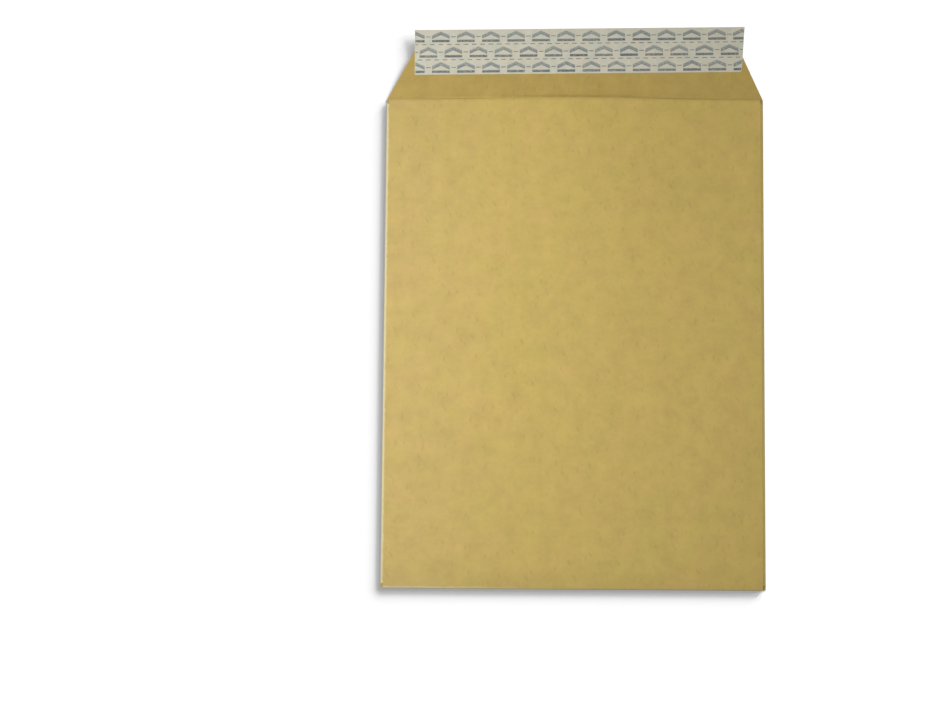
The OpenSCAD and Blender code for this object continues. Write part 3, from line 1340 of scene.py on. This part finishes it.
@dataclass(frozen=True)
class FlapLie:
    """How the liner lies: on the flap's slope, with what is past the adhesive's ends curling up."""

    crease_line: float
    slope: float
    held_left: float
    left_run: float
    held_right: float
    right_run: float
    curl: float

    @classmethod
    def on(cls, pocket: PocketSizes, curl: float) -> "FlapLie":
        """Works out the lie from the pocket.

        Args:
            pocket: The pocket's sizes.
            curl: Rise for each square metre past the adhesive's end.

        Returns:
            The lie's numbers.
        """
        left, right = pocket.flap_sides(pocket.crease_y)
        left += pocket.adhesive_inset / math.cos(pocket.flap_left_slant)
        right -= pocket.adhesive_inset / math.cos(pocket.flap_right_slant)
        left_run = math.tan(pocket.flap_left_slant)
        right_run = math.tan(pocket.flap_right_slant)
        return cls(pocket.crease_y, pocket.flap_slope, left, left_run, right, right_run, curl)

    @staticmethod
    def fill(tree: Tree, take: Sockets) -> Sockets:
        """Adds the nodes of the group that lays a flat shape on the flap.

        Args:
            tree: The group's tree.
            take: Its inputs.

        Returns:
            Its output.
        """
        x, y, _ = tree.axes(tree.get("GeometryNodeInputPosition"))
        beyond = y - take["Crease line"]
        past_left = beyond * take["Left run"] + take["Held left"] - x
        past_right = x - (take["Held right"] - beyond * take["Right run"])
        free = tree.highest(past_left, past_right, 0.0)
        lift = beyond * take["Slope"] + free * free * take["Curl"]
        return {"Geometry": tree.shifted(take["Geometry"], Z=lift)}

    def lay(self, tree: Tree, geometry: Signal) -> Signal:
        """Lays a geometry on the flap, by a group that the liner and its print share.

        Args:
            tree: The piece's tree.
            geometry: What lies on the flap.

        Returns:
            The geometry in its place.
        """
        values = {name.replace("_", " ").capitalize(): value for name, value in asdict(self).items()}
        group = node_group("lie on the flap", "GeometryNodeTree", {"Geometry": None, **values}, self.fill)
        return tree.get("GeometryNodeGroup", {"Geometry": geometry, **values}, node_tree=group)


@dataclass
class ReleaseLiner:
    """Strip of coated paper over the flap's adhesive."""

    sizes: LinerSizes
    lie: FlapLie
    step: float = 2.2 * MM

    def flat_mesh(self) -> Mesh:
        """Builds the liner's middle surface, flat and in its place on the plan.

        Returns:
            The mesh, its faces upwards.
        """
        size = self.sizes
        left = -size.length / 2

        def along(t: float, v: float) -> float:
            """Place along the liner at a share of its length on the row v."""
            return left + (size.right_end(v) - left) * t

        sheet = SheetMesh()
        sheet.add_grid(
            spaced(0, 1, round(size.length / self.step)), size.rows(self.step),
            lambda t, v: size.placed(along(t, v), v, size.thickness / 2),
            lambda t, v: (along(t, v), v),
        )
        return sheet.build("release_liner_sheet")

    def build(self) -> Object:
        """Builds the liner.

        Returns:
            The piece, dressed and riding on the frame.
        """
        piece = new_piece("liner_sheet", self.flat_mesh())
        finish = {"Finish": LinerFinish().material}
        reshape(piece, "laid liner", finish, lambda tree, take: self.lie.lay(tree, take["Geometry"]))
        thicken(piece, self.sizes.thickness)
        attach(piece, "root")
        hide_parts("release_liner")
        return piece


@dataclass
class LinerPrint:
    """Print on the liner: rows of arrowheads over bars, with fine dashes between the signs and the rows."""

    sizes: LinerSizes
    lie: FlapLie
    ink_t: float = 0.02 * MM
    margin: float = 0.4 * MM
    sign_pitch: float = 17.0 * MM
    row_pitch: float = 10.6 * MM
    sign_w: float = 12.0 * MM
    arrow_h: float = 2.7 * MM
    arrow_stroke: float = 2.5 * MM
    bar_h: float = 1.7 * MM
    bar_gap: float = 0.6 * MM
    dash_l: float = 3.2 * MM
    dash_h: float = 0.6 * MM
    line_dashes: int = 3
    arm_steps: int = 3
    bar_steps: int = 6
    arrow_tones: tuple[float, float] = (0.55, 0.0)
    bar_tones: tuple[float, float] = (1.0, 0.8)
    dash_tones: tuple[float, float] = (0.7, 0.7)
    least_density: float = 0.86
    most_density: float = 1.0
    seed: int = 11
    corner_cuts_deg: tuple[float, ...] = (-65.0, -47.0, -25.0)
    on_cut: float = 1e-8

    def sign_mesh(self) -> Mesh:
        """Builds one sign, the dash to its right and the dashes above them as thin closed shapes.

        Returns:
            The mesh about the sign's own middle, with each point's ink tone.
        """
        half = self.sign_w / 2
        foot = -(self.bar_h + self.bar_gap + self.arrow_h + self.arrow_stroke) / 2
        arrow = foot + self.bar_h + self.bar_gap
        sign = bmesh.new()
        tone = sign.verts.layers.float.new(INK_TONE)

        def strip(lower: list[tuple[float, float]], height: float, tones: tuple[float, float]) -> None:
            """Adds a strip of faces above a line of points, with the tones of its two edges.

            Args:
                lower: The points of its lower edge.
                height: Its height.
                tones: The tones of its lower and its upper edge.
            """
            edges = []
            for rise, shade in zip((0.0, height), tones, strict=True):
                edges.append([sign.verts.new((x, y + rise, 0.0)) for x, y in lower])
                for vertex in edges[-1]:
                    vertex[tone] = shade
            below, above = edges
            for i in range(len(lower) - 1):
                sign.faces.new((below[i], below[i + 1], above[i + 1], above[i]))

        arms = spaced(-1, 1, 2 * self.arm_steps)
        peak = [(half * a, arrow + self.arrow_h * (1 - abs(a))) for a in arms]
        strip(peak, self.arrow_stroke, self.arrow_tones)
        strip([(half * a, foot) for a in spaced(-1, 1, self.bar_steps)], self.bar_h, self.bar_tones)
        step = self.sign_pitch / self.line_dashes
        middles = [((k + 0.5) * step, self.row_pitch / 2) for k in range(self.line_dashes)]
        for x, y in [(self.sign_pitch / 2, 0.0), *middles]:
            dash = [(x + self.dash_l / 2 * a, y - self.dash_h / 2) for a in (-1, 0, 1)]
            strip(dash, self.dash_h, self.dash_tones)
        raised = bmesh.ops.extrude_face_region(sign, geom=sign.faces[:])
        top = [g for g in raised["geom"] if isinstance(g, bmesh.types.BMVert)]
        bmesh.ops.translate(sign, verts=top, vec=(0.0, 0.0, self.ink_t))
        bmesh.ops.recalc_face_normals(sign, faces=sign.faces)
        mesh = bpy.data.meshes.new("printed_sign")
        sign.to_mesh(mesh)
        sign.free()
        return mesh

    def rows(self, tree: Tree, take: Sockets) -> Signal:
        """Adds the nodes that repeat the sign in staggered rows and lay them on the liner.

        Args:
            tree: The geometry tree.
            take: Its inputs.

        Returns:
            All the signs in their places.
        """
        grid = tree.get("GeometryNodeMeshGrid", {
            "Size X": (take["Columns"] - 1.0) * take["Sign pitch"],
            "Size Y": (take["Rows"] - 1.0) * take["Row pitch"],
            "Vertices X": take["Columns"],
            "Vertices Y": take["Rows"],
        }, "Mesh")
        position = tree.get("GeometryNodeInputPosition")
        row = tree.math("ROUND", tree.axes(position)[1] / take["Row pitch"])
        odd = tree.math("PINGPONG", row, 1.0)
        points = tree.shifted(grid, X=odd * take["Sign pitch"] * 0.5)
        signs = tree.get("GeometryNodeInstanceOnPoints", {"Points": points, "Instance": take["Geometry"]})
        inputs = {2: take["Least density"], 3: take["Most density"], "Seed": take["Seed"]}
        density = tree.get("FunctionNodeRandomValue", inputs, 1, data_type="FLOAT")
        inputs = {"Geometry": signs, "Name": INK_DENSITY, "Value": density}
        inked = tree.get("GeometryNodeStoreNamedAttribute", inputs, data_type="FLOAT", domain="INSTANCE")
        inputs = {"Vector": position, "Angle": take["Turn"]}
        turned = tree.get("ShaderNodeVectorRotate", inputs, rotation_type="Z_AXIS")
        inputs = {"Geometry": tree.real(inked), "Position": tree.vector("ADD", turned, take["Middle"])}
        return self.lie.lay(tree, tree.get("GeometryNodeSetPosition", inputs))

    @staticmethod
    def odd_count(span: float, pitch: float, spare: int) -> int:
        """Odd number of signs that covers a span, with some to spare at each end."""
        return 2 * (math.ceil(span / pitch / 2) + spare) + 1

    def clip(self, mesh: Mesh) -> None:
        """Cuts the print off at the liner's outline, less a bare margin.

        Args:
            mesh: The print's mesh, in its place.
        """
        size = self.sizes
        half_l = size.length / 2 - self.margin
        half_h = size.width / 2 - self.margin
        slant = size.end_slant
        cuts = [
            ((-half_l, 0.0), (-1.0, 0.0)),
            ((0.0, half_h), (0.0, 1.0)),
            ((0.0, -half_h), (0.0, -1.0)),
            ((half_l, 0.0), (math.cos(slant), -math.sin(slant))),
        ]
        corner_u, corner_v = size.corner(self.margin)
        for angle in map(math.radians, self.corner_cuts_deg):
            away = (math.cos(angle), math.sin(angle))
            cuts.append(((corner_u + size.corner_r * away[0], corner_v + size.corner_r * away[1]), away))
        body = bmesh.new()
        body.from_mesh(mesh)
        for at, away in cuts:
            bmesh.ops.bisect_plane(
                body,
                geom=body.verts[:] + body.edges[:] + body.faces[:],
                dist=self.on_cut,
                plane_co=size.placed(*at),
                plane_no=Matrix.Rotation(size.turn, 3, "Z") @ Vector((*away, 0.0)),
                clear_outer=True,
            )
            bmesh.ops.holes_fill(body, edges=[e for e in body.edges if e.is_boundary])
        body.to_mesh(mesh)
        body.free()

    def build(self) -> Object:
        """Builds the print.

        Returns:
            The piece, dressed and riding on the frame.
        """
        size = self.sizes
        piece = new_piece("liner_signs", self.sign_mesh())
        reshape(piece, "rows of signs", {
            "Columns": self.odd_count(size.length, self.sign_pitch, spare=1),
            "Rows": self.odd_count(size.width, self.row_pitch, spare=0),
            "Sign pitch": self.sign_pitch,
            "Row pitch": self.row_pitch,
            "Turn": size.turn,
            "Middle": size.centre + Vector((0.0, 0.0, size.thickness)),
            "Least density": self.least_density,
            "Most density": self.most_density,
            "Seed": self.seed,
            "Finish": InkFinish().material,
        }, self.rows)
        settle(piece)
        self.clip(piece.data)
        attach(piece, "root")
        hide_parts("liner_print")
        return piece


# Glue lines


@dataclass
class GlueLines:
    """The two seam glue lines and the flap's adhesive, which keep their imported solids."""

    nodes: dict[str, Object]

    def dress(self) -> None:
        """Gives each film its finish."""
        seam = GlueFinish(GlueFinish.SEAM).material
        finishes = {
            "seam_glue_left": seam,
            "seam_glue_right": seam,
            "flap_adhesive": GlueFinish(GlueFinish.FLAP).material,
        }
        for name, material in finishes.items():
            slots = self.nodes[name].material_slots
            for slot in slots:
                slot.material = material
            LOG.info("%s: packed solid, %d slots dressed", name, len(slots))


# Studio


@dataclass(frozen=True)
class ShadowLamp:
    """Far low lamp that lights only the table, so that it draws the envelope's soft shadow."""

    name: str
    heading: float
    level: float


@dataclass
class Studio:
    """Plain white table, one large soft lamp, an even fill and the camera over the table."""

    lamp_place: Vector = Vector((-0.22, 0.025, 0.50))
    lamp_size: float = 0.5
    lamp_share: float = 0.82
    lamp_samples: int = 24
    shadow_lamp_elevation: float = math.radians(6.0)
    shadow_lamp_width: float = math.radians(8.0)
    shadow_lamps: tuple[ShadowLamp, ...] = (
        ShadowLamp("right low lamp", math.radians(20.0), 0.21),
        ShadowLamp("middle low lamp", math.radians(45.0), 0.43),
        ShadowLamp("upper low lamp", math.radians(70.0), 0.18),
    )
    floor_glow: float = 0.23
    floor_shade: float = 0.8
    floor_half: float = 6.0
    floor_drop: float = 0.02 * MM
    lens: float = 100.0
    camera_place: Vector = Vector((-0.0116, -0.2472, 1.7467))
    camera_turn_deg: tuple[float, float, float] = (7.62, 1.71, 0.50)

    def build_camera(self) -> None:
        """Builds the camera and makes it the scene's own."""
        data = bpy.data.cameras.new("camera")
        data.lens = self.lens
        data.sensor_width = 36.0
        data.sensor_fit = "HORIZONTAL"
        data.clip_start = 0.01
        data.clip_end = 100.0
        camera = bpy.data.objects.new("camera", data)
        camera.location = self.camera_place
        camera.rotation_euler = Euler([math.radians(a) for a in self.camera_turn_deg])
        bpy.context.scene.collection.objects.link(camera)
        bpy.context.scene.camera = camera

    @staticmethod
    def seen_directly(tree: Tree) -> Signal:
        """Gives 1 for rays that show a background, which are camera, glossy and transmission rays.

        Args:
            tree: The material's or the world's tree.

        Returns:
            1 for such a ray, 0 for the others.
        """
        path = tree.parts("ShaderNodeLightPath")
        kinds = ("Is Camera Ray", "Is Glossy Ray", "Is Transmission Ray")
        return tree.highest(*(path[kind] for kind in kinds))

    def build_world(self) -> None:
        """Builds the even fill, the light that the large lamp leaves. A camera sees it as plain white."""
        world = bpy.data.worlds.new("even fill")
        world.use_nodes = True
        tree = Tree(world.node_tree)
        level = self.seen_directly(tree) * self.lamp_share + (1.0 - self.lamp_share)
        background = tree.get("ShaderNodeBackground", {"Color": WHITE, "Strength": level})
        tree.add("ShaderNodeOutputWorld", {"Surface": background})
        bpy.context.scene.world = world

    def build_floor(self) -> Object:
        """Builds the table top. It keeps the envelope's shadow and is white elsewhere.

        Returns:
            The floor.
        """
        half, z = self.floor_half, -self.floor_drop
        mesh = bpy.data.meshes.new("table_top")
        corners = [(-half, -half, z), (half, -half, z), (half, half, z), (-half, half, z)]
        mesh.from_pydata(corners, [], [(0, 1, 2, 3)])
        material = bpy.data.materials.new("white table top")
        material.use_nodes = True
        tree = Tree(material.node_tree)
        matt = tree.get("ShaderNodeBsdfDiffuse", {"Color": (*[self.floor_shade] * 3, 1.0)})
        glow = tree.get("ShaderNodeEmission", {"Strength": self.seen_directly(tree) * self.floor_glow})
        top = tree.get("ShaderNodeAddShader", {0: matt, 1: glow})
        clear = tree.get("ShaderNodeBsdfTransparent")
        behind = tree.get("ShaderNodeNewGeometry", key="Backfacing")
        surface = tree.get("ShaderNodeMixShader", {0: behind, 1: top, 2: clear})
        tree.add("ShaderNodeOutputMaterial", {"Surface": surface})
        mesh.materials.append(material)
        floor = new_piece("table_top", mesh)
        return floor

    def lamp_power(self) -> float:
        """Works out the power at which the large lamp gives the middle of the table its share of light.

        Returns:
            The power in watts.
        """
        place = np.array(self.lamp_place)
        aim = -place / np.linalg.norm(place)
        side = np.cross((0.0, 1.0, 0.0), aim)
        side /= np.linalg.norm(side)
        up = np.cross(aim, side)
        steps = (np.arange(self.lamp_samples) + 0.5) / self.lamp_samples - 0.5
        points = place + self.lamp_size * (steps[:, None, None] * side + steps[:, None] * up)
        far = np.linalg.norm(points, axis=2)
        mean = float(np.mean(points[..., 2] * -(points @ aim) / far**4))
        # The lamp's radiance is its power over pi and its area, and plain light is pi
        return self.lamp_share * math.pi * math.pi / mean

    @staticmethod
    def hang_lamp(data: Light, towards: Vector, lit: Collection) -> Object:
        """Puts a lamp into the scene so that it shines on the middle of the table.

        Args:
            data: The lamp.
            towards: The direction that its light comes from.
            lit: The pieces that it lights or leaves out.

        Returns:
            The lamp's object.
        """
        lamp = bpy.data.objects.new(data.name, data)
        lamp.rotation_euler = (-towards).to_track_quat("-Z", "Y").to_euler()
        lamp.light_linking.receiver_collection = lit
        bpy.context.scene.collection.objects.link(lamp)
        return lamp

    def build_lamps(self, floor: Object) -> None:
        """Builds the large soft lamp over the envelope and the low ones that draw its shadow.

        Args:
            floor: The table top, which only the low lamps light.
        """
        not_floor, only_floor = (
            bpy.data.collections.new(name) for name in ("lit by the large lamp", "lit by the low lamps")
        )
        for collection in (not_floor, only_floor):
            collection.objects.link(floor)
        not_floor.collection_objects[0].light_linking.link_state = "EXCLUDE"
        data = bpy.data.lights.new("large soft lamp", "AREA")
        data.shape = "SQUARE"
        data.size = self.lamp_size
        data.energy = self.lamp_power()
        lamp = self.hang_lamp(data, self.lamp_place, not_floor)
        lamp.location = self.lamp_place
        lamp.visible_camera = False
        flat, high = math.cos(self.shadow_lamp_elevation), math.sin(self.shadow_lamp_elevation)
        for spec in self.shadow_lamps:
            data = bpy.data.lights.new(spec.name, "SUN")
            data.angle = self.shadow_lamp_width
            data.energy = spec.level * math.pi / high
            towards = Vector((flat * math.cos(spec.heading), flat * math.sin(spec.heading), high))
            self.hang_lamp(data, towards, only_floor)

    def build(self) -> None:
        """Builds the whole studio."""
        self.build_camera()
        self.build_world()
        self.build_lamps(self.build_floor())
        bpy.context.scene.view_settings.view_transform = "Standard"


def clear_scene() -> None:
    """Removes what a new Blender file holds."""
    for item in list(bpy.data.objects):
        bpy.data.objects.remove(item)


def report(piece: Object) -> None:
    """Logs a finished piece.

    Args:
        piece: The piece.
    """
    corners = np.array([v.co for v in piece.data.vertices]) / MM
    span = corners.max(0) - corners.min(0)
    faces = sum(len(p.vertices) - 2 for p in piece.data.polygons)
    LOG.info("%s: %.1f x %.1f x %.2f mm, %d triangles", piece.name, *span, faces)


def main() -> None:
    """Builds the envelope over the frame, then the studio."""
    logging.basicConfig(level=logging.INFO, format="%(message)s")
    clear_scene()
    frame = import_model()
    pocket = PocketSizes.from_frame()
    liner = LinerSizes.from_frame(pocket)
    LOG.info("liner %.2f mm long, middle at %.2f, %.2f", liner.length / MM, *(liner.centre / MM).xy)
    lie = FlapLie.on(pocket, curl=2.6)
    report(KraftSheet(pocket).build())
    report(ReleaseLiner(liner, lie).build())
    report(LinerPrint(liner, lie).build())
    GlueLines(frame["nodes"]).dress()
    Studio().build()


if __name__ == "__main__":
    main()
